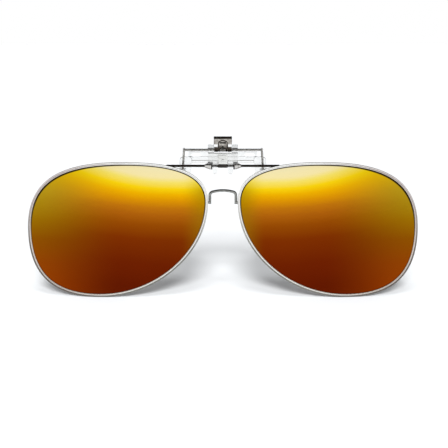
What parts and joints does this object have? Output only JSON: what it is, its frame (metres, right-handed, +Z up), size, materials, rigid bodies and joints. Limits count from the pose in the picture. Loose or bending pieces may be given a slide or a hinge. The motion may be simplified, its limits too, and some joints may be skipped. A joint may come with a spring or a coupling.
{
  "type": "clip-on sunglasses",
  "caption": "Flip-up clip-on sunglasses: mirror-coated lenses in a thin silver metal frame, hinged on a clear sprung clip with pinch levers.",
  "frame": {"origin": "on the mirror plane (x = 0), at the seat plane where the front claws rest on the wearer's own lenses (y = 0), at the height of the flip hinge's axis (z = 0)", "axes": "as worn: +Z up, +X to the right as seen from the front, +Y back towards the wearer's face; left and right in node names are as seen from the front"},
  "size_m": [0.1404, 0.0118, 0.0579],
  "materials": {
    "lens": "yellow to red graded mirror coat on a dark brown tint",
    "silver_metal": "polished silver plate",
    "bright_metal": "polished",
    "dark_metal": "dark nickel plate",
    "black_metal": "blackened steel",
    "spring_steel": "bare spring steel",
    "clear_plastic": "clear moulded polycarbonate",
    "clear_silicone": "clear soft silicone"
  },
  "bodies": {
    "clip": {"clip_housing": "clear_plastic", "front_jaw": "clear_plastic", "front_lever": "dark_metal", "torsion_spring": "spring_steel", "detent_leaf": "spring_steel", "leaf_rivet": "bright_metal"},
    "lens_frame": {"rim_left": "silver_metal", "rim_right": "silver_metal", "lens_left": "lens", "lens_right": "lens", "bridge_wire": "silver_metal", "bridge_foot_left": "silver_metal", "bridge_foot_right": "silver_metal", "brow_bar": "dark_metal", "hinge_collar_left": "bright_metal", "hinge_collar_right": "bright_metal", "hinge_cam": "black_metal"},
    "rear_jaw": {"jaw_wire": "dark_metal", "jaw_sleeve_left": "clear_silicone", "jaw_sleeve_right": "clear_silicone", "rear_lever": "dark_metal"}
  },
  "joints": [
    {"name": "flip_up", "type": "hinge", "parent": "clip", "child": "lens_frame", "pos_m": [0, -0.0045, 0], "axis": [-1, 0, 0], "range_deg": [0, 90], "deforming": ["detent_leaf"]},
    {"name": "jaw_open", "type": "hinge", "parent": "clip", "child": "rear_jaw", "pos_m": [0, -0.0023, 0.00555], "axis": [1, 0, 0], "range_deg": [0, 28], "stiffness_Nm_per_rad": 0.03, "springref_deg": -28.65, "deforming": ["torsion_spring"]}
  ]
}
